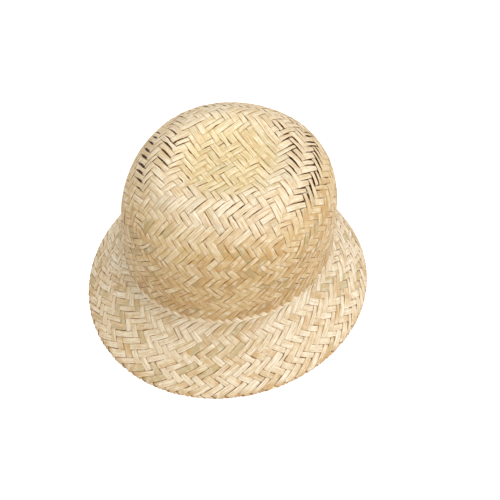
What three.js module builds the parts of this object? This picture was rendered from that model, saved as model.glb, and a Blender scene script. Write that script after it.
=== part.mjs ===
// A plaited bamboo hat: a deep round crown and a short brim that slopes down all round.
// Millimetres, +Z up. The hat stands on its rim, with the origin on the ground under its middle,
// and the side that is worn to the front faces -Y.
//
// The whole hat is one plait of flat strips, with no seam. Here the plait is its courses, each a
// plain shell: the flat mat at the top, the shoulder where its sides turn down, the crown's wall,
// the brim, the edge where the strips are folded under, and the band of strip ends tucked back up
// against the brim's underside.
import * as THREE from "three";
import { mergeVertices } from "three/addons/utils/BufferGeometryUtils.js";

// Driving dimensions
const RIM_RADIUS = 131;
const CREASE_RADIUS = 92; // where the brim meets the crown
const CREASE_HEIGHT = 50.4;
const BELLY_RADIUS = 92.6; // the crown's widest course
const BELLY_HEIGHT = 96;
const CROWN_HEIGHT = 167.8;
const WALL_REACH = 72; // how far the wall keeps its line before the shoulder turns
const TOP_REACH = 40; // the same for the flat top, out from the axis
const BRIM_HOLLOW = 1.8; // the brim is very slightly hollow
const CREASE_ROUNDING = 7; // length each side of the crease that is rounded

const PLAIT_THICKNESS = 1.4; // two strips, one over the other
const TUCKED_THICKNESS = 1.1;
const FOLD_LENGTH = 4.5; // height of the folded edge, along the brim
const TUCK_LENGTH = 24; // how far the strip ends lie back, along the brim
const TIP_RADIUS = 62; // edge of the flat mat at the top
const SHOULDER_HEIGHT = 122; // where the wall starts to turn in
const GAP = 0.3; // clearance between neighbouring courses

// How far the hand-made hat is from round: offsets in millimetres of the rim, crease and top
const RIM_SHIFT = new THREE.Vector2(-1.9, -1.2);
const TOP_SHIFT = new THREE.Vector2(3.0, 0.9);
const RIM_DIAGONAL = 2.7; // the rim is pulled out on two opposite quarters
const RIM_TREFOIL = new THREE.Vector2(1.05, -0.95);
const CREASE_TILT = new THREE.Vector2(8.7, -1.6); // the crease is higher on the +X side
const SHOULDER_TILT = new THREE.Vector2(4.15, 1.0);
const SHOULDER_TWIST = new THREE.Vector2(-0.85, -1.15);
const CROWN_OVAL = 1.15;
const OVAL_FADE_RADIUS = 54; // the oval fades out over the top inside this radius

const SEGMENTS = 64;
const STEP = 9; // length of one facet along the outline

// The outline of the outer surface, from the rim up to the middle of the top, as (radius, height)
function outline() {
  const rim = new THREE.Vector2(RIM_RADIUS, 0);
  const crease = new THREE.Vector2(CREASE_RADIUS, CREASE_HEIGHT);
  const belly = new THREE.Vector2(BELLY_RADIUS, BELLY_HEIGHT);
  const top = new THREE.Vector2(0, CROWN_HEIGHT);
  const alongBrim = crease.clone().sub(rim).normalize();
  const alongWall = belly.clone().sub(crease).normalize();
  const brimEnd = crease.clone().addScaledVector(alongBrim, -CREASE_ROUNDING);
  const wallStart = crease.clone().addScaledVector(alongWall, CREASE_ROUNDING);
  const inward = new THREE.Vector2(-alongBrim.y, alongBrim.x);
  const hollow = rim.clone().add(brimEnd).multiplyScalar(0.5).addScaledVector(inward, BRIM_HOLLOW);
  const shoulder = belly.clone().addScaledVector(alongWall, WALL_REACH);
  const path = new THREE.CurvePath();
  path.add(new THREE.QuadraticBezierCurve(rim, hollow, brimEnd));
  path.add(new THREE.QuadraticBezierCurve(brimEnd, crease, wallStart));
  path.add(new THREE.LineCurve(wallStart, belly));
  path.add(new THREE.CubicBezierCurve(belly, shoulder, new THREE.Vector2(TOP_REACH, CROWN_HEIGHT), top));
  path.arcLengthDivisions = 800;
  return path;
}

const OUTLINE = outline();
const OUTLINE_LENGTH = OUTLINE.getLength();
const CREASE_AT = OUTLINE.curves[0].getLength() + OUTLINE.curves[1].getLength() / 2;

// The length along the crown's outline at which it first passes a test
function lengthWhere(test) {
  let low = CREASE_AT;
  let high = OUTLINE_LENGTH;
  while (high - low > 0.01) {
    const middle = (low + high) / 2;
    if (test(OUTLINE.getPointAt(middle / OUTLINE_LENGTH))) high = middle;
    else low = middle;
  }
  return low;
}

// A point a given length along the outline and a given depth under it
function under(length, depth) {
  const u = Math.min(length / OUTLINE_LENGTH, 1);
  const point = OUTLINE.getPointAt(u);
  const tangent = OUTLINE.getTangentAt(u);
  return new THREE.Vector2(point.x - depth * tangent.y, point.y + depth * tangent.x);
}

// One side of a course, as points from one length to another at one depth
function side(from, to, depth) {
  const count = Math.max(1, Math.round(Math.abs(to - from) / STEP));
  return Array.from({ length: count + 1 }, (_, i) => under(from + ((to - from) * i) / count, depth));
}

// Moves a vertex of a perfectly round hat to where the hand-made one has it
function settle(vertex) {
  const angle = Math.atan2(vertex.y, vertex.x);
  const cos = Math.cos(angle);
  const sin = Math.sin(angle);
  const radius = Math.hypot(vertex.x, vertex.y);
  const rimness = 1 - THREE.MathUtils.clamp(vertex.z / CREASE_HEIGHT, 0, 1);
  const topness = THREE.MathUtils.clamp((vertex.z - CREASE_HEIGHT) / (CROWN_HEIGHT - CREASE_HEIGHT), 0, 1);
  const creaseness = (1 - rimness) * (1 - topness);
  const waves = RIM_DIAGONAL * Math.sin(2 * angle)
    + RIM_TREFOIL.x * Math.cos(3 * angle)
    + RIM_TREFOIL.y * Math.sin(3 * angle);
  const oval = CROWN_OVAL * Math.min(1, radius / OVAL_FADE_RADIUS) * Math.cos(2 * angle);
  const settled = radius + rimness * waves + (1 - rimness) * oval;
  const shoulder = SHOULDER_TILT.x * cos + SHOULDER_TILT.y * sin
    + SHOULDER_TWIST.x * Math.cos(2 * angle) + SHOULDER_TWIST.y * Math.sin(2 * angle);
  vertex.set(
    settled * cos + rimness * RIM_SHIFT.x + topness * TOP_SHIFT.x,
    settled * sin + rimness * RIM_SHIFT.y + topness * TOP_SHIFT.y,
    vertex.z + creaseness * (CREASE_TILT.x * cos + CREASE_TILT.y * sin)
      + topness * Math.min(1, radius / CREASE_RADIUS) * shoulder,
  );
}

// Turns a closed section round the axis and settles it
function turned(section) {
  let geometry = new THREE.LatheGeometry(section, SEGMENTS);
  geometry.deleteAttribute("normal");
  geometry.deleteAttribute("uv");
  geometry.rotateX(Math.PI / 2);
  geometry = mergeVertices(geometry, 0.001);
  const position = geometry.attributes.position;
  const vertex = new THREE.Vector3();
  for (let i = 0; i < position.count; i += 1) {
    vertex.fromBufferAttribute(position, i);
    settle(vertex);
    position.setXYZ(i, vertex.x, vertex.y, vertex.z);
  }
  geometry.computeVertexNormals();
  return geometry;
}

function course(name, section, colour) {
  const material = new THREE.MeshStandardMaterial({ color: colour, roughness: 0.62, metalness: 0 });
  const mesh = new THREE.Mesh(turned(section), material);
  mesh.name = name;
  return mesh;
}

// A band of plait between two lengths along the outline and two depths under it
function band(from, to, outer, inner) {
  const points = [...side(from, to, outer), ...side(to, from, inner)];
  return [...points, points[0]];
}

// The flat mat at the top, closed on the axis
function tipSection(from) {
  const middle = new THREE.Vector2(0, CROWN_HEIGHT);
  const belowMiddle = new THREE.Vector2(0, CROWN_HEIGHT - PLAIT_THICKNESS);
  return [
    ...side(from, OUTLINE_LENGTH, 0).slice(0, -1),
    middle,
    belowMiddle,
    ...side(OUTLINE_LENGTH, from, PLAIT_THICKNESS).slice(1),
    under(from, 0),
  ];
}

// The ends of the strips, lying against the inside of the brim
function tuckedSection() {
  const outerDepth = PLAIT_THICKNESS + GAP;
  const innerDepth = outerDepth + TUCKED_THICKNESS;
  return band(FOLD_LENGTH + GAP, FOLD_LENGTH + TUCK_LENGTH, outerDepth, innerDepth);
}

// The folded edge: as thick as the brim and the tucked ends together, and flat underneath
function foldSection() {
  const depth = PLAIT_THICKNESS + GAP + TUCKED_THICKNESS;
  const slope = OUTLINE.getTangentAt(0);
  const flatWidth = depth / slope.y;
  return [
    new THREE.Vector2(RIM_RADIUS - flatWidth, 0),
    new THREE.Vector2(RIM_RADIUS, 0),
    under(FOLD_LENGTH, 0),
    under(FOLD_LENGTH, depth),
    new THREE.Vector2(RIM_RADIUS - flatWidth, 0),
  ];
}

const shoulderFrom = lengthWhere((point) => point.y > SHOULDER_HEIGHT);
const tipFrom = lengthWhere((point) => point.x < TIP_RADIUS);
const hat = new THREE.Group();
hat.add(
  course("crown_tip", tipSection(tipFrom + GAP / 2), 0xe3cfa6),
  course("crown_shoulder", band(shoulderFrom + GAP / 2, tipFrom - GAP / 2, 0, PLAIT_THICKNESS), 0xdfcba5),
  course("crown_wall", band(CREASE_AT + GAP / 2, shoulderFrom - GAP / 2, 0, PLAIT_THICKNESS), 0xdcc8a2),
  course("brim", band(FOLD_LENGTH + GAP, CREASE_AT - GAP / 2, 0, PLAIT_THICKNESS), 0xe6d8ba),
  course("rim_fold", foldSection(), 0xd9c49b),
  course("tucked_strip_ends", tuckedSection(), 0xd4bd92),
);

// The origin is on the ground, under the middle of the rim
const middle = new THREE.Box3().setFromObject(hat).getCenter(new THREE.Vector3());
hat.position.set(-middle.x, -middle.y, 0);
hat.updateMatrixWorld(true);

export default hat;
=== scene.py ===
"""A plaited bamboo hat, made strip by strip.

The whole hat is one plait. Its strips start as a flat mat at the top of the crown, where they run in
two directions, turn down through four corners at the shoulder, and run on at a slant round the wall
and the brim to the edge. There they are folded under and their ends are tucked back up inside. Each
strip is one piece here, from its one end inside the brim, up over the crown and down to the other.
"""
import math

import bpy
import numpy as np
from mathutils import Matrix, Vector


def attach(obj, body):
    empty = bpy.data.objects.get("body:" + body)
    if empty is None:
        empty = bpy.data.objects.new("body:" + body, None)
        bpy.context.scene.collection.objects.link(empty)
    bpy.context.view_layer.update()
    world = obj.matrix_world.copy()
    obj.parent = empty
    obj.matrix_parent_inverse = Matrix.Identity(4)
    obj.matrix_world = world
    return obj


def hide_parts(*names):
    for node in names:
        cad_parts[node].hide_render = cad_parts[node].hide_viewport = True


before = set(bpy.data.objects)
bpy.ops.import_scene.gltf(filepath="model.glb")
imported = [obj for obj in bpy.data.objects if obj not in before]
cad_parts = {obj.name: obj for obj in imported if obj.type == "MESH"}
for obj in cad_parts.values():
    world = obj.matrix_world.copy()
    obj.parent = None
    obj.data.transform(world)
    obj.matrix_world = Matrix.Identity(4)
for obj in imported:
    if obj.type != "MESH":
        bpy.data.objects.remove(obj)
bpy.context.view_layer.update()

MM = 0.001
FULL_TURN = 2 * math.pi
random = np.random.default_rng(7)

# ---- The hat's outline, in millimetres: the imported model's, with a sharper crease and a wider brim ----
RIM_RADIUS = 132.4
CREASE_RADIUS = 92
CREASE_HEIGHT = 50.4
BELLY_RADIUS = 92.6
BELLY_HEIGHT = 96
CROWN_HEIGHT = 167.8
WALL_REACH = 72
TOP_REACH = 40
BRIM_HOLLOW = 1.8
CREASE_ROUNDING = 3.5
PLAIT_THICKNESS = 1.4

# How far the hand-made hat is from round
RIM_SHIFT = (-1.9, -1.2)
TOP_SHIFT = (3.0, 0.9)
RIM_DIAGONAL = 2.7
RIM_TREFOIL = (1.05, -0.95)
CREASE_TILT = (8.7, -1.6)
SHOULDER_TILT = (4.15, 1.0)
SHOULDER_TWIST = (-0.85, -1.15)
RIM_MIDDLE = (-0.96, -0.37, 0.0)  # of the settled rim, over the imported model's origin
CROWN_OVAL = 1.15
OVAL_FADE_RADIUS = 54
FRONT_REACH = 1.8  # how much further the brim reaches at the front
OVERHANG = 1.8  # of the wall, sagging over the crease
OVERHANG_HEIGHT = 10.0  # of its fullest part above the crease
OVERHANG_SPREAD = 6.5
SWELL = 2.4  # of the shoulder, fullest where the mat's four corners turn down
SWELL_ALL_ROUND = 0.6  # share of it that goes all the way round
SWELL_RADIUS = 84
SWELL_SPREAD = 26
DISH = (0, -3, 50, 42)  # the sunken oval on the top: middle across and back, and half sizes
DISH_DEPTH = 4.8
DISH_SLOPE = (0.55, 1.05)  # where it stops and starts sinking, as shares of the oval's size
LIP_HEIGHT = 2.4  # of the swelling round it
LIP_PLACE = 1.2  # of its highest line, as a share of the oval's size
LIP_SPREAD = 0.28
BACK_RISE = 3.0  # of the top towards the back
BACK_RISE_RADIUS = 60

# ---- The plait, in millimetres ----
QUARTERS = 4
STRIPS_A_QUARTER = 19
AROUND = QUARTERS * STRIPS_A_QUARTER  # crossings in a ring, from the shoulder down
PITCH = 5.7  # from one strip to the next beside it
MAT_PITCH = 5.8  # the same in the mat at the top
MAT_TURN = math.radians(31)  # direction of the mat's first corner from +X
SHOULDER_REACH = 84  # of the corners' ring from the middle of the top, before the net is relaxed
TWILL = 5  # rings in the pattern, over three and under two
LONG_FLOATS = (2, 3, 4)  # rings of the pattern where the clockwise strips lie on top
SLIPS = 0.1  # share of the ends of the floats that are a crossing too long or too short
SLIPS_UNTIL = 38  # rings, and none further out
SMOOTH_SQUARE = (28.5, 3.0, 14.5)  # where one set of strips lies on top: middle and half size
EDGE_RING = 59.85  # rings from the middle of the top to the edge
LEVEL_RING = 33  # from here down the rings lie level
TUCK_RINGS = 6.5  # rings in the layer folded under the brim
FOLD_RADIUS = 0.75
FOLD_CLEARANCE = 1.1  # from the end of the outline back to the fold
TUCK_LENGTH = 40  # of the surface under the brim, which is more than the ends need
EDGE_HEIGHT = 1.3  # of the outline's end over the ground, for the fold to fit under it

# ---- One strip, in millimetres ----
STRIP_THICKNESS = 0.42
EDGE_BEVEL = 0.35
RISE = 0.34  # of a strip above or below the middle of the plait
PUFF = 0.17  # how much more the middle of a long float rises
UNEVENNESS = 1.0  # how far the line between two strips may lie from an even spacing
ROLL = 0.02  # usual slope of a strip across its width
WANDER = 0.12  # usual distance of a strip from its line
RAGGEDNESS = 0.06  # usual change in half its width
NARROWING = 0.4  # of half its width in the narrow places, here and there
NARROWEST = 1.2  # half width
LAST_UNCOVERED = 4  # rings at a strip's ends where nothing covers it
END_CHOICES = 3  # a strip stops at any of this many last rings
SAMPLES = 5  # sections from one crossing to the next

# ---- Gaps between two strips side by side, in millimetres ----
GAP = 0.02  # the usual
MAT_GAP = 0.16  # more than that between the mat's strips
MAT_GAP_REACH = (42, 50)  # over which the mat's gaps close
SQUARE_TIGHTENING = 0.3  # less than that in the smooth square
OPENING_SPREAD = 7  # of the open places, out from the middle of the top
# Where strips have been drawn apart: direction in degrees, half spread, reach, and gap
OPEN_PLACES = (
    (0, 38, 73, 2.4),
    (10, 32, 53, 1.5),
    (168, 22, 73, 2.2),
    (165, 24, 51, 1.4),
    (120, 25, 68, 0.7),
    (262, 30, 54, 0.5),
)

# ---- The photograph's view ----
VIEW_ELEVATION = math.radians(52.47)
VIEW_ROLL = math.radians(1.77)
VIEW_DISTANCE = 894.5
VIEW_HEIGHT = 71.6  # of the point on the axis that is looked at
LENS = 71.96
SHIFT = (0.045, -0.046)


def unit(vectors):
    return vectors / np.linalg.norm(vectors, axis=-1, keepdims=True)


def smooth(t):
    t = np.clip(t, 0, 1)
    return t * t * (3 - 2 * t)


# ---- The surface that the plait follows ----


def bezier(*points, count=300):
    t = np.linspace(0, 1, count)[:, None]
    points = [np.array(p, float) for p in points]
    while len(points) > 1:
        points = [(1 - t) * a + t * b for a, b in zip(points, points[1:])]
    return points[0]


def outline():
    """(radius, height) of the outer surface, from the middle of the top down to the rim."""
    rim = np.array([RIM_RADIUS, EDGE_HEIGHT])
    crease = np.array([CREASE_RADIUS, CREASE_HEIGHT])
    belly = np.array([BELLY_RADIUS, BELLY_HEIGHT])
    along_brim = unit(crease - rim)
    along_wall = unit(belly - crease)
    brim_end = crease - CREASE_ROUNDING * along_brim
    wall_start = crease + CREASE_ROUNDING * along_wall
    inward = np.array([-along_brim[1], along_brim[0]])
    hollow = (rim + brim_end) / 2 + BRIM_HOLLOW * inward
    shoulder = belly + WALL_REACH * along_wall
    parts = [
        bezier(rim, hollow, brim_end),
        bezier(brim_end, crease, wall_start),
        bezier(wall_start, belly),
        bezier(belly, shoulder, (TOP_REACH, CROWN_HEIGHT), (0, CROWN_HEIGHT)),
    ]
    points = np.concatenate(parts)[::-1]
    above_crease = (points[:, 1] - CREASE_HEIGHT - OVERHANG_HEIGHT) / OVERHANG_SPREAD
    points[:, 0] += OVERHANG * np.exp(-(above_crease**2))
    return points


def lengths_along(points):
    return np.concatenate([[0], np.cumsum(np.linalg.norm(np.diff(points, axis=0), axis=1))])


def fold_of(middle, normal, tangent):
    """The half turn at the edge, from the outer layer to the one folded under it."""
    turn = np.linspace(0, math.pi, 13)[1:-1, None]
    normals = np.cos(turn) * normal + np.sin(turn) * tangent
    return middle + FOLD_RADIUS * (normals - normal), normals


def plait_section():
    """The middle of the plait by its length from the top: down, round the edge, back up inside."""
    points = outline()
    lengths = lengths_along(points)
    step = 0.25
    steps = np.arange(0, lengths[-1] - FOLD_CLEARANCE, step)
    over = np.stack([np.interp(steps, lengths, points[:, k]) for k in (0, 1)], 1)
    tangents = unit(np.gradient(over, axis=0))
    normals = np.stack([-tangents[:, 1], tangents[:, 0]], 1)
    middle = over - PLAIT_THICKNESS / 2 * normals
    fold, fold_normals = fold_of(middle[-1], normals[-1], tangents[-1])
    tucked = slice(-1, -int(TUCK_LENGTH / step), -1)
    under = (middle - 2 * FOLD_RADIUS * normals)[tucked]
    points = np.concatenate([middle, fold, under])
    normals = np.concatenate([normals, fold_normals, -normals[tucked]])
    reach = lengths_along(points)
    edge = reach[len(middle) + len(fold) // 2]
    return reach, points, normals, edge


REACH, SECTION, SECTION_NORMALS, EDGE = plait_section()
SECTION_TANGENTS = unit(np.gradient(SECTION, axis=0))


def along_section(reach, table, column):
    return np.interp(reach, REACH, table[:, column])


def settle(radius, angle, height):
    """The place in the hand-made hat of a point of a perfectly round one."""
    cos, sin = np.cos(angle), np.sin(angle)
    rimness = 1 - np.clip(height / CREASE_HEIGHT, 0, 1)
    topness = np.clip((height - CREASE_HEIGHT) / (CROWN_HEIGHT - CREASE_HEIGHT), 0, 1)
    creaseness = (1 - rimness) * (1 - topness)
    waves = (
        RIM_DIAGONAL * np.sin(2 * angle)
        + RIM_TREFOIL[0] * np.cos(3 * angle)
        + RIM_TREFOIL[1] * np.sin(3 * angle)
    )
    waves += FRONT_REACH * np.maximum(0, -sin) ** 2
    oval = CROWN_OVAL * np.minimum(1, radius / OVAL_FADE_RADIUS) * np.cos(2 * angle)
    settled = radius + rimness * waves + (1 - rimness) * oval
    shoulder = (
        SHOULDER_TILT[0] * cos
        + SHOULDER_TILT[1] * sin
        + SHOULDER_TWIST[0] * np.cos(2 * angle)
        + SHOULDER_TWIST[1] * np.sin(2 * angle)
    )
    shoulderness = np.exp(-(((radius - SWELL_RADIUS) / SWELL_SPREAD) ** 2)) * topness
    corners = np.cos(QUARTERS * (angle - MAT_TURN))
    swell = SWELL_ALL_ROUND + (1 - SWELL_ALL_ROUND) * corners
    settled = settled + SWELL * shoulderness * swell
    x = settled * cos + rimness * RIM_SHIFT[0] + topness * TOP_SHIFT[0]
    y = settled * sin + rimness * RIM_SHIFT[1] + topness * TOP_SHIFT[1]
    tilt = creaseness * (CREASE_TILT[0] * cos + CREASE_TILT[1] * sin)
    back_rise = BACK_RISE * np.minimum(1, radius / BACK_RISE_RADIUS) * np.maximum(0, sin) ** 2
    z = height + tilt + topness * (np.minimum(1, radius / CREASE_RADIUS) * shoulder + back_rise)
    return np.stack([x, y, z], -1)


def dish(reach, angle):
    """How far the top has sunk or swollen, with a dish in the middle and a lip round it."""
    x, y, half_across, half_back = DISH
    across = (reach * np.cos(angle) - x) / half_across
    back = (reach * np.sin(angle) - y) / half_back
    out = np.hypot(across, back)
    lip = LIP_HEIGHT * np.exp(-(((out - LIP_PLACE) / LIP_SPREAD) ** 2))
    return lip - DISH_DEPTH * smooth(np.interp(out, DISH_SLOPE, (1, 0)))


def place(flat, lift):
    """Where points of the laid-out plait, lifted off its middle layer, are in the hat, in metres."""
    reach = np.hypot(flat[..., 0], flat[..., 1])
    angle = np.arctan2(flat[..., 1], flat[..., 0]) + MAT_TURN
    lift = lift + dish(reach, angle)
    radius = along_section(reach, SECTION, 0) + lift * along_section(reach, SECTION_NORMALS, 0)
    height = along_section(reach, SECTION, 1) + lift * along_section(reach, SECTION_NORMALS, 1)
    return (settle(radius, angle, height) - np.array(RIM_MIDDLE)) * MM


# ---- The net of crossings ----


def ring_step(reach):
    """How far apart the rings lie where strips PITCH apart go round at that radius."""
    steepest = 0.86
    slant = min(steepest, AROUND * PITCH / (FULL_TURN * along_section(reach, SECTION, 0)))
    return PITCH / (2 * math.sqrt(1 - slant**2))


LAST_RING = math.ceil(EDGE_RING + TUCK_RINGS) + 1


def ring_reaches():
    """How far each ring lies from the middle of the top, worked out from the edge both ways."""
    last_outside = math.floor(EDGE_RING)
    share = EDGE_RING - last_outside
    reaches = {
        last_outside: EDGE - share * ring_step(EDGE),
        last_outside + 1: EDGE + (1 - share) * ring_step(EDGE),
    }
    for ring in range(last_outside - 1, 0, -1):
        reaches[ring] = reaches[ring + 1] - ring_step(reaches[ring + 1])
    for ring in range(last_outside + 2, LAST_RING + 1):
        reaches[ring] = reaches[ring - 1] + ring_step(reaches[ring - 1])
    return reaches


def crossings_in(ring):
    return QUARTERS * min(ring, STRIPS_A_QUARTER)


RING_START = np.concatenate([[0, 0], np.cumsum([crossings_in(k) for k in range(1, LAST_RING + 1)])])
RING_OF = np.concatenate([np.full(crossings_in(k), k) for k in range(1, LAST_RING + 1)])


def polar(reach, angle):
    return np.stack([reach * np.cos(angle), reach * np.sin(angle)], -1)


def mat_ring(ring, reach_at_shoulder):
    """A ring inside the corners: a square in the middle of the mat, growing rounder outwards."""
    quarter, place_in = np.divmod(np.arange(crossings_in(ring)), ring)
    x = (ring - 0.5 - place_in) * MAT_PITCH
    y = (place_in + 0.5) * MAT_PITCH
    square = polar(np.hypot(x, y), np.arctan2(y, x) + quarter * FULL_TURN / QUARTERS)
    angle = (quarter + (place_in + 0.5) / ring) * FULL_TURN / QUARTERS
    circle = polar(ring / STRIPS_A_QUARTER * reach_at_shoulder, angle)
    roundness = (ring / STRIPS_A_QUARTER) ** 2
    return (1 - roundness) * square + roundness * circle


def wall_ring(ring, reach):
    """A ring below the corners, staggered by half a place from the one above."""
    stagger = 0.5 if (ring - STRIPS_A_QUARTER) % 2 == 0 else 0.0
    return polar(reach, (np.arange(AROUND) + stagger) / AROUND * FULL_TURN)


def first_net():
    """The crossings, ring by ring, of the plait laid out flat, before it's relaxed."""
    reaches = ring_reaches()
    shoulder, level = SHOULDER_REACH, reaches[LEVEL_RING]
    rings = []
    for ring in range(1, LAST_RING + 1):
        if ring <= STRIPS_A_QUARTER:
            rings.append(mat_ring(ring, shoulder))
        elif ring < LEVEL_RING:
            share = (ring - STRIPS_A_QUARTER) / (LEVEL_RING - STRIPS_A_QUARTER)
            rings.append(wall_ring(ring, shoulder + share * (level - shoulder)))
        else:
            rings.append(wall_ring(ring, reaches[ring]))
    return np.concatenate(rings)


def strip_route(quarter, lane):
    """The crossings that one strip runs through, and whether it is the clockwise strip there.

    It comes up clockwise in one quarter of the hat, passes the middle of the mat on one side, and
    goes down anticlockwise in the next quarter.
    """
    rings, places, clockwise = [], [], []
    up = quarter * STRIPS_A_QUARTER + lane + 0.5
    down = (quarter + 1) * STRIPS_A_QUARTER + STRIPS_A_QUARTER - 1 - lane + 0.5
    for ring in range(LAST_RING, lane, -1):
        below = ring - STRIPS_A_QUARTER
        wall_tone_and_shade = math.floor(up - 0.5 * below) % AROUND
        rings.append(ring)
        places.append(wall_tone_and_shade if below > 0 else quarter * ring + lane)
        clockwise.append(True)
    for ring in range(lane + 1, LAST_RING + 1):
        below = ring - STRIPS_A_QUARTER
        wall_tone_and_shade = math.floor(down + 0.5 * below) % AROUND
        next_quarter = (quarter + 1) % QUARTERS
        rings.append(ring)
        places.append(wall_tone_and_shade if below > 0 else next_quarter * ring + ring - 1 - lane)
        clockwise.append(False)
    return np.array(rings), RING_START[rings] + np.array(places), np.array(clockwise)


ROUTES = [strip_route(q, lane) for q in range(QUARTERS) for lane in range(STRIPS_A_QUARTER)]


def round_hat(flat):
    """The crossings in a perfectly round hat, with the section's slope and radius there."""
    reach = np.hypot(flat[:, 0], flat[:, 1])
    angle = np.arctan2(flat[:, 1], flat[:, 0])
    radius = along_section(reach, SECTION, 0)
    cos, sin = np.cos(angle), np.sin(angle)
    points = np.stack([radius * cos, radius * sin, along_section(reach, SECTION, 1)], 1)
    slope = along_section(reach, SECTION_TANGENTS, 0), along_section(reach, SECTION_TANGENTS, 1)
    spread = np.where(radius > 0.5, reach / np.maximum(radius, 0.5), 1.0)
    return points, slope, spread, cos, sin


def summed(index, vectors, count):
    """For each crossing, the sum of the vectors that belong to it."""
    return np.stack([np.bincount(index, vectors[:, k], count) for k in range(3)], 1)


def relaxed(flat, passes=900, straightening=0.125, pull=0.22):
    """Lets the crossings of the crown slide until the strips are evenly spaced and run straight."""
    flat = flat.copy()
    count = len(flat)
    free = RING_OF < LEVEL_RING
    nodes = [route[1] for route in ROUTES]
    one = np.concatenate([n[:-1] for n in nodes])
    two = np.concatenate([n[1:] for n in nodes])
    before = np.concatenate([n[:-2] for n in nodes])
    centre = np.concatenate([n[1:-1] for n in nodes])
    after = np.concatenate([n[2:] for n in nodes])
    for _ in range(passes):
        points, slope, spread, cos, sin = round_hat(flat)
        edge = points[two] - points[one]
        length = np.linalg.norm(edge, axis=1, keepdims=True)
        firmness = np.where(length < MAT_PITCH, 1.0, 0.5)  # strips resist crowding more than gaps
        tension = pull * firmness * (1 - MAT_PITCH / length) * edge
        move = summed(one, tension, count) - summed(two, tension, count)
        bend = (points[before] + points[after]) / 2 - points[centre]
        move += straightening * summed(centre, bend, count)
        down = (move[:, 0] * cos + move[:, 1] * sin) * slope[0] + move[:, 2] * slope[1]
        round_ = (move[:, 1] * cos - move[:, 0] * sin) * spread
        shift = np.stack([down * cos - round_ * sin, down * sin + round_ * cos], 1)
        flat[free] += shift[free]
    return flat


NET = relaxed(first_net())


def crossing_table():
    """For each crossing and each of its two strips: the strip, and the crossings before and after."""
    strip = np.zeros((2, len(RING_OF)), int)
    around = np.zeros((2, len(RING_OF), 2), int)
    for number, (_, nodes, clockwise) in enumerate(ROUTES):
        strip[clockwise.astype(int), nodes] = number
        before = np.concatenate([nodes[:1], nodes[:-1]])
        after = np.concatenate([nodes[1:], nodes[-1:]])
        around[clockwise.astype(int), nodes] = np.stack([before, after], 1)
    return strip, around


STRIP_AT, BESIDE = crossing_table()


def true_vectors(flat, vectors):
    """Vectors of the laid-out plait as they are in the hat: down its outline and round it."""
    reach = np.hypot(flat[:, 0], flat[:, 1])
    cos, sin = flat[:, 0] / reach, flat[:, 1] / reach
    down = vectors[:, 0] * cos + vectors[:, 1] * sin
    round_ = (vectors[:, 1] * cos - vectors[:, 0] * sin) / round_spread(reach)
    return np.stack([down, round_], 1)


def laid_out(flat, vectors):
    """The reverse of true_vectors."""
    reach = np.hypot(flat[:, 0], flat[:, 1])
    cos, sin = flat[:, 0] / reach, flat[:, 1] / reach
    round_ = vectors[:, 1] * round_spread(reach)
    down = vectors[:, 0]
    return np.stack([down * cos - round_ * sin, down * sin + round_ * cos], 1)


def round_spread(reach):
    radius = along_section(reach, SECTION, 0)
    return np.where(radius > 0.5, reach / np.maximum(radius, 0.5), 1.0)


def cross(a, b):
    return a[..., 0] * b[..., 1] - a[..., 1] * b[..., 0]


def uneven_widths():
    """Each strip's share of the even width, and how far its middle lies to its left."""
    widths, offsets = [], []
    for _ in range(QUARTERS):
        inner = random.uniform(-UNEVENNESS, UNEVENNESS, STRIPS_A_QUARTER - 1)
        lines = np.concatenate([[0], inner, [0]])
        widths.append(1 + np.diff(lines) / PITCH)
        offsets.append(-(lines[1:] + lines[:-1]) / 2)
    return np.concatenate(widths), np.concatenate(offsets)


WIDTH_SHARE, OFFSET = uneven_widths()


def uneven(net):
    """Moves the crossings to where strips of uneven widths cross."""
    one, two = (true_vectors(net, net[BESIDE[f][:, 1]] - net[BESIDE[f][:, 0]]) for f in (0, 1))
    one, two = unit(one), unit(two)
    turn = cross(one, two)[:, None]
    shift = (OFFSET[STRIP_AT[0]][:, None] * two - OFFSET[STRIP_AT[1]][:, None] * one) / turn
    return net + laid_out(net, shift)


def strip_spacing(net, nodes, clockwise):
    """The even width of a strip at each of its crossings, measured along the strips it crosses."""
    own = clockwise.astype(int)
    along = BESIDE[own, nodes]
    beside = BESIDE[1 - own, nodes]
    flat = net[nodes]
    own_way = unit(true_vectors(flat, net[along[:, 1]] - net[along[:, 0]]))
    over = true_vectors(flat, net[beside[:, 1]] - net[beside[:, 0]])
    steps = (beside != nodes[:, None]).sum(1)
    return np.abs(cross(own_way, over)) / steps


def in_smooth_square(flat):
    x, y, half = SMOOTH_SQUARE
    return (np.abs(flat[:, 0] - x) < half) & (np.abs(flat[:, 1] - y) < half)


def clockwise_on_top(net):
    """Which of its two strips lies on top at each crossing: the twill, with a few slips."""
    on_top = np.isin(RING_OF % TWILL, LONG_FLOATS)
    end_of_float = np.isin(RING_OF % TWILL, (LONG_FLOATS[0], LONG_FLOATS[-1]))
    slipped = (random.random(len(RING_OF)) < SLIPS) & end_of_float & (RING_OF < SLIPS_UNTIL)
    on_top = on_top ^ slipped
    quarter = STRIP_AT[1] // STRIPS_A_QUARTER
    return np.where(in_smooth_square(net), quarter % 2 == 1, on_top)


EVEN_NET = NET
NET = uneven(EVEN_NET)
CLOCKWISE_ON_TOP = clockwise_on_top(NET)


# ---- Strips ----


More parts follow.
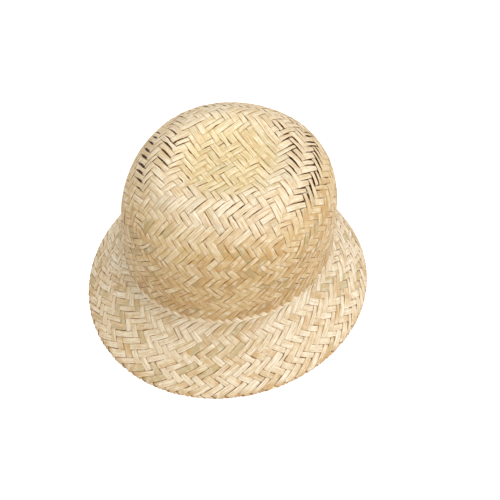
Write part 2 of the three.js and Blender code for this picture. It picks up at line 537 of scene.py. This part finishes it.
def catmull_rom(values, samples):
    """A smooth curve through the values, with that many steps from each to the next."""
    ends = [2 * values[:1] - values[1:2], values, 2 * values[-1:] - values[-2:-1]]
    padded = np.concatenate(ends)
    a, b, c, d = padded[:-3], padded[1:-2], padded[2:-1], padded[3:]
    t = (np.arange(samples) / samples).reshape(1, -1, *([1] * (values.ndim - 1)))
    a, b, c, d = (v[:, None] for v in (a, b, c, d))
    curve = 0.5 * (
        2 * b + (c - a) * t + (2 * a - 5 * b + 4 * c - d) * t**2 + (3 * b - a - 3 * c + d) * t**3
    )
    return np.concatenate([curve.reshape(-1, *values.shape[1:]), values[-1:]])


def heights_along(on_top, samples):
    """The strip's height off the middle of the plait: flat on a float, and a quick step between."""
    sign = np.where(on_top, 1.0, -1.0)
    padded = np.concatenate([sign[:1], sign, sign[-1:]])
    long_float = (padded[:-2] == sign) & (padded[2:] == sign)
    height = sign * (RISE + PUFF * long_float)
    t = smooth((np.arange(samples) / samples - 0.15) / 0.7)[None]
    curve = height[:-1, None] * (1 - t) + height[1:, None] * t
    return np.concatenate([curve.ravel(), height[-1:]])


def slow_noise(count, samples, size):
    """A smooth random curve, with one random value at each crossing."""
    return catmull_rom(random.normal(0, size, count), samples)


def sideways(path):
    """One millimetre to the strip's left, in the laid-out plait, and its steps' true lengths."""
    step = true_vectors(path, np.gradient(path, axis=0))
    size = np.linalg.norm(step, axis=1)
    left = np.stack([-step[:, 1], step[:, 0]], 1) / size[:, None]
    return laid_out(path, left), size


def gap_at(path):
    """The gap between two strips side by side, wider in a few places round the top."""
    reach = np.hypot(path[:, 0], path[:, 1])
    angle = np.degrees(np.arctan2(path[:, 1], path[:, 0]) + MAT_TURN)
    gap = GAP + MAT_GAP * np.interp(reach, MAT_GAP_REACH, (1, 0))
    gap -= SQUARE_TIGHTENING * in_smooth_square(path)
    for direction, half_spread, middle, width in OPEN_PLACES:
        away = (angle - direction + 180) % 360 - 180
        out = (reach - middle) / OPENING_SPREAD
        gap += width * np.exp(-((away / half_spread) ** 4) - out**2)
    return gap


# Columns of a strip's section: (share of the half width, inset from the edge, share of thickness)
COLUMNS = (
    (-1, 0, 0.1),
    (-1, EDGE_BEVEL, 0.5),
    (0, 0, 0.62),
    (1, EDGE_BEVEL, 0.5),
    (1, 0, 0.1),
    (1, 0, -0.5),
    (-1, 0, -0.5),
)
TOP_COLUMNS = 4  # the first of the faces between them, which go over the top


def strip_arrays(number, route):
    """The points of a strip's surface, and what its material has to know at each of them."""
    rings, nodes, clockwise = route
    spacing = strip_spacing(EVEN_NET, nodes, clockwise)
    first = random.integers(0, END_CHOICES)
    last = len(rings) - random.integers(0, END_CHOICES)
    rings, nodes, clockwise = rings[first:last], nodes[first:last], clockwise[first:last]
    on_top = CLOCKWISE_ON_TOP[nodes] == clockwise
    path = catmull_rom(NET[nodes], SAMPLES)
    left, step = sideways(path)
    along = np.concatenate([[0], np.cumsum(step[1:])])
    lift = heights_along(on_top, SAMPLES)
    roll = slow_noise(len(nodes), SAMPLES, ROLL)
    wander = slow_noise(len(nodes), SAMPLES, WANDER)
    full = catmull_rom(spacing[first:last], SAMPLES) * WIDTH_SHARE[number]
    half = (full - gap_at(path)) / 2 + slow_noise(len(nodes), SAMPLES, RAGGEDNESS)
    half -= NARROWING * np.maximum(0, slow_noise(len(nodes), SAMPLES, 1) - 1)
    half = np.maximum(half, NARROWEST)
    columns, widths = [], []
    for share, inset, thick in COLUMNS:
        out = share * (half - inset)
        flat = path + left * (out + wander)[:, None]
        columns.append(place(flat, lift + roll * out + thick * STRIP_THICKNESS))
        widths.append(out / half)
    # 1 on a face that shows, -1 on one with another strip over it, seen from its own side
    facing = np.array([1 if thick > -0.5 else -1 for _, _, thick in COLUMNS])
    near_end = np.repeat(rings > LAST_RING - LAST_UNCOVERED, SAMPLES)[: len(path)]
    depth = np.where(near_end, 1, np.clip(lift / RISE, -1, 1))[:, None] * facing
    reach = np.hypot(path[:, 0], path[:, 1])
    return np.stack(columns, 1), along, np.stack(widths, 1), reach, depth


def strip_mesh(name, number, tone, route):
    """A closed ribbon, with the attributes that its material reads."""
    points, along, widths, reach, depth = strip_arrays(number, route)
    sections, columns = points.shape[:2]
    mesh = bpy.data.meshes.new(name)
    corner = np.arange(sections * columns).reshape(sections, columns)
    next_column = np.roll(corner, -1, 1)
    quads = np.stack([corner[:-1], next_column[:-1], next_column[1:], corner[1:]], -1)
    faces = quads.reshape(-1, 4).tolist() + [corner[0][::-1].tolist(), corner[-1].tolist()]
    mesh.from_pydata(points.reshape(-1, 3).tolist(), [], faces)
    rounded = np.tile(np.arange(columns) < TOP_COLUMNS, sections - 1)
    underside = np.tile(np.arange(columns) == TOP_COLUMNS + 1, sections - 1)
    mesh.polygons.foreach_set("use_smooth", np.append(rounded | underside, [False, False]))
    fibre = np.empty((sections, columns, 3), np.float32)
    fibre[..., 0] = along[:, None]
    fibre[..., 1] = widths
    fibre[..., 2] = number
    mesh.attributes.new("fibre", "FLOAT_VECTOR", "POINT").data.foreach_set("vector", fibre.ravel())
    values = {"tone": np.full((sections, 1), tone), "reach": reach[:, None] / EDGE, "depth": depth}
    for label, value in values.items():
        attribute = mesh.attributes.new(label, "FLOAT", "POINT")
        value = np.broadcast_to(value, (sections, columns)).astype(np.float32)
        attribute.data.foreach_set("value", value.ravel())
    mesh.update()
    return mesh


def strips(material):
    """Every strip of the plait, each a piece of its own."""
    for number, route in enumerate(ROUTES):
        name = f"strip_{number + 1:02d}"
        piece = bpy.data.objects.new(name, strip_mesh(name, number, random.random(), route))
        bpy.context.scene.collection.objects.link(piece)
        piece.data.materials.append(material)
        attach(piece, "root")
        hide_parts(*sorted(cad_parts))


# ---- Material ----


class Nodes:
    """Short ways to make and link the nodes of one material."""

    def __init__(self, material):
        material.use_nodes = True
        self.tree = material.node_tree
        self.tree.nodes.clear()

    def add(self, kind, inputs=None, **settings):
        node = self.tree.nodes.new(kind)
        for key, value in settings.items():
            setattr(node, key, value)
        for key, value in (inputs or {}).items():
            if isinstance(value, bpy.types.NodeSocket):
                self.tree.links.new(value, node.inputs[key])
            else:
                node.inputs[key].default_value = value
        return node

    def math(self, operation, *values):
        return self.add("ShaderNodeMath", dict(enumerate(values)), operation=operation).outputs[0]

    def remap(self, value, low, high, to_low=0.0, to_high=1.0):
        inputs = {0: value, 1: low, 2: high, 3: to_low, 4: to_high}
        return self.add("ShaderNodeMapRange", inputs).outputs[0]

    def mix(self, factor, one, two, blend="MIX"):
        node = self.add("ShaderNodeMix", data_type="RGBA", blend_type=blend)
        for socket, value in ((node.inputs[0], factor), (node.inputs[6], one), (node.inputs[7], two)):
            if isinstance(value, bpy.types.NodeSocket):
                self.tree.links.new(value, socket)
            else:
                socket.default_value = value
        return node.outputs[2]

    def noise(self, vector, scale, detail=3.0, roughness=0.6):
        inputs = {"Vector": vector, "Scale": scale, "Detail": detail, "Roughness": roughness}
        return self.add("ShaderNodeTexNoise", inputs).outputs["Fac"]

    def stretched(self, vector, *scales):
        inputs = {0: vector, 1: scales}
        return self.add("ShaderNodeVectorMath", inputs, operation="MULTIPLY").outputs[0]

    def ramp(self, value, *stops):
        node = self.add("ShaderNodeValToRGB", {0: value})
        elements = node.color_ramp.elements
        while len(elements) < len(stops):
            elements.new(0.5)
        for element, (position, colour) in zip(elements, stops):
            element.position = position
            element.color = (*colour, 1)
        return node.outputs[0]


# Where the brim starts at the crease, as shares of the way from the middle of the top to the edge
BRIM_START = (0.690, 0.698)


def natural_colour(n, tone):
    """From cream through straw and tan to brown and a little greenish grey."""
    return n.ramp(
        tone,
        (0.0, (0.95, 0.85, 0.63)),
        (0.3, (0.82, 0.66, 0.38)),
        (0.5, (0.86, 0.71, 0.45)),
        (0.7, (0.74, 0.55, 0.28)),
        (0.86, (0.66, 0.42, 0.19)),
        (0.98, (0.54, 0.45, 0.24)),
    )


def aged_with_painted_wall_shade(n, colour, tone, reach):
    """The brim is bleached, the top has yellowed and the shoulder is paler. The wall is darker, partly
    from its own colour and partly from painted shade, and painted shade darkens it more towards the
    crease.
    """
    on_brim = n.remap(reach, *BRIM_START)
    on_crown = n.remap(reach, *reversed(BRIM_START))
    bleached = n.math("MULTIPLY", on_brim, n.remap(tone, 0.9, 0.6, 0.15, 0.5))
    colour = n.mix(bleached, colour, (0.98, 0.91, 0.77, 1))
    on_top = n.remap(reach, 0.21, 0.16, 0.0, 0.45)
    colour = n.mix(on_top, colour, (1.0, 0.91, 0.56, 1))
    on_shoulder = n.math("MULTIPLY", n.remap(reach, 0.12, 0.19), n.remap(reach, 0.37, 0.28))
    colour = n.mix(n.math("MULTIPLY", on_shoulder, 0.5), colour, (1.0, 0.93, 0.77, 1))
    # painted shade on the wall, on top of its own slightly darker colour
    wall_tone_and_shade = n.math("MULTIPLY", n.remap(reach, 0.24, 0.51), on_crown)
    colour = n.mix(wall_tone_and_shade, colour, (0.75, 0.645, 0.50, 1), "MULTIPLY")
    # painted shade low on the wall, where the overhang shades the crease
    crease_shade = n.math("MULTIPLY", n.remap(reach, 0.60, 0.69), on_crown)
    return n.mix(crease_shade, colour, (0.87, 0.82, 0.77, 1), "MULTIPLY")


def grained(n, colour, coarse, fine, patch):
    colour = n.mix(n.remap(coarse, 0.45, 0.60, 0.0, 0.52), colour, (0.61, 0.375, 0.105, 1))
    colour = n.mix(n.remap(fine, 0.44, 0.62, 0.0, 0.46), colour, (0.42, 0.225, 0.045, 1))
    return n.mix(n.remap(patch, 0.5, 0.66, 0.0, 0.36), colour, (0.98, 0.91, 0.72, 1))


def edge_colour_and_seam_shade(n, colour, across, patch, reach):
    """Browner along the strips' edges in places, partly from their own colour and partly from painted
    shade of the seams between strips, and browner where they fold at the edge of the brim.
    """
    share = n.remap(patch, 0.40, 0.54, 0.05, 1.0)
    # painted shade of the seams between strips, on top of the edges' own browner colour
    edge_tint_and_seam_shade = n.math("MULTIPLY", n.remap(across, 0.82, 0.98), share)
    colour = n.mix(edge_tint_and_seam_shade, colour, (0.36, 0.15, 0.015, 1))
    share = n.remap(patch, 0.62, 0.45)
    at_fold = n.math("MULTIPLY", n.remap(reach, 0.975, 0.995, 0.0, 0.7), share)
    return n.mix(at_fold, colour, (0.50, 0.27, 0.07, 1))


def shaded(n, colour, depth, reach):
    """Dark where another strip lies over it, and darkest below the open places round the top."""
    covered = n.remap(depth, 0.1, -0.8)
    by_openings = n.math("MULTIPLY", n.remap(reach, 0.15, 0.18), n.remap(reach, 0.36, 0.33))
    colour = n.mix(n.math("MULTIPLY", covered, 0.9), colour, (0.19, 0.07, 0.008, 1))
    return n.mix(n.math("MULTIPLY", covered, by_openings), colour, (0.05, 0.015, 0.002, 1))


def bamboo():
    """Split bamboo, with its grain along each strip."""
    material = bpy.data.materials.new("split_bamboo")
    n = Nodes(material)
    fibre = n.add("ShaderNodeAttribute", attribute_name="fibre").outputs["Vector"]
    strip_tone = n.add("ShaderNodeAttribute", attribute_name="tone").outputs["Fac"]
    reach = n.add("ShaderNodeAttribute", attribute_name="reach").outputs["Fac"]
    depth = n.add("ShaderNodeAttribute", attribute_name="depth").outputs["Fac"]

    coarse = n.noise(n.stretched(fibre, 0.05, 2.4, 13.1), 1.0, 3.0)
    fine = n.noise(n.stretched(fibre, 0.12, 8.0, 17.3), 1.0, 4.0)
    blotch = n.noise(n.stretched(fibre, 0.055, 0.25, 9.7), 1.0, 2.0)
    patch = n.noise(n.stretched(fibre, 0.17, 0.5, 5.3), 1.0, 3.0)
    across = n.math("ABSOLUTE", n.add("ShaderNodeSeparateXYZ", {0: fibre}).outputs[1])

    tone = n.math("ADD", strip_tone, n.remap(blotch, 0.3, 0.7, -0.3, 0.3))
    colour = natural_colour(n, tone)
    colour = aged_with_painted_wall_shade(n, colour, tone, reach)
    colour = grained(n, colour, coarse, fine, patch)
    colour = edge_colour_and_seam_shade(n, colour, across, patch, reach)
    colour = shaded(n, colour, depth, reach)

    bump_height = n.math("ADD", n.math("MULTIPLY", coarse, 0.4), fine)
    bump = n.add("ShaderNodeBump", {"Height": bump_height, "Strength": 0.25, "Distance": 0.0002})
    roughness = n.remap(fine, 0.3, 0.7, 0.45, 0.65)
    shader = n.add(
        "ShaderNodeBsdfPrincipled",
        {"Base Color": colour, "Roughness": roughness, "Normal": bump.outputs[0]},
    )
    n.add("ShaderNodeOutputMaterial", {"Surface": shader.outputs[0]})
    return material


# ---- Stage, in metres ----

FLOOR_SIDE = 12.0
FLOOR_GLOW = 0.45
HAT_SHADE = (0.115, 0.128)  # distance from the middle over which the floor starts to glow
LAMP_AIM = Vector((0, 0, 0.08))
WORLD_STRENGTH = 0.38


def floor_material():
    """Pale and slightly glowing, as a lit backdrop is, but not in the dark under the hat."""
    material = bpy.data.materials.new("pale_floor")
    n = Nodes(material)
    place_on_floor = n.add("ShaderNodeTexCoord").outputs["Object"]
    away = n.add("ShaderNodeVectorMath", {0: place_on_floor}, operation="LENGTH").outputs["Value"]
    shader = n.add(
        "ShaderNodeBsdfPrincipled",
        {
            "Base Color": (0.9, 0.9, 0.9, 1),
            "Roughness": 0.9,
            "Emission Color": (1, 1, 1, 1),
            "Emission Strength": n.remap(away, *HAT_SHADE, 0.0, FLOOR_GLOW),
        },
    )
    n.add("ShaderNodeOutputMaterial", {"Surface": shader.outputs[0]})
    return material


def floor():
    half = FLOOR_SIDE / 2
    mesh = bpy.data.meshes.new("floor")
    corners = [(-half, -half, 0), (half, -half, 0), (half, half, 0), (-half, half, 0)]
    mesh.from_pydata(corners, [], [(0, 1, 2, 3)])
    ground = bpy.data.objects.new("floor", mesh)
    bpy.context.scene.collection.objects.link(ground)
    mesh.materials.append(floor_material())


def lamp(name, place_at, size, power, colour=(1, 1, 1)):
    """A square light that faces the hat."""
    light = bpy.data.lights.new(name, "AREA")
    light.size = size
    light.energy = power
    light.color = colour
    ob = bpy.data.objects.new(name, light)
    ob.location = place_at
    ob.rotation_mode = "QUATERNION"
    ob.rotation_quaternion = (LAMP_AIM - Vector(place_at)).to_track_quat("-Z", "Y")
    bpy.context.scene.collection.objects.link(ob)


def lights():
    world = bpy.data.worlds.new("studio")
    world.use_nodes = True
    background = world.node_tree.nodes["Background"]
    background.inputs["Color"].default_value = (1, 0.98, 0.94, 1)
    background.inputs["Strength"].default_value = WORLD_STRENGTH
    bpy.context.scene.world = world
    lamp("overhead", (0.1, -0.05, 1.7), size=0.8, power=17)
    lamp("key", (1.0, -1.05, 1.1), size=0.7, power=9, colour=(0.97, 1.0, 1.1))
    bpy.context.scene.view_settings.view_transform = "Standard"


def camera():
    data = bpy.data.cameras.new("camera")
    data.lens = LENS
    data.shift_x, data.shift_y = SHIFT
    ob = bpy.data.objects.new("camera", data)
    bpy.context.scene.collection.objects.link(ob)
    cos, sin = math.cos(VIEW_ELEVATION), math.sin(VIEW_ELEVATION)
    back = Vector((0, -cos, sin))
    level = Vector((1, 0, 0))
    upright = Vector((0, sin, cos))
    right = math.cos(VIEW_ROLL) * level - math.sin(VIEW_ROLL) * upright
    up = math.sin(VIEW_ROLL) * level + math.cos(VIEW_ROLL) * upright
    looked_at = Vector((-RIM_MIDDLE[0], -RIM_MIDDLE[1], VIEW_HEIGHT))
    position = (looked_at + VIEW_DISTANCE * back) * MM
    turn = Matrix((right, up, back)).transposed().to_4x4()
    ob.matrix_world = Matrix.Translation(position) @ turn
    bpy.context.scene.camera = ob


camera()
floor()
lights()
strips(bamboo())
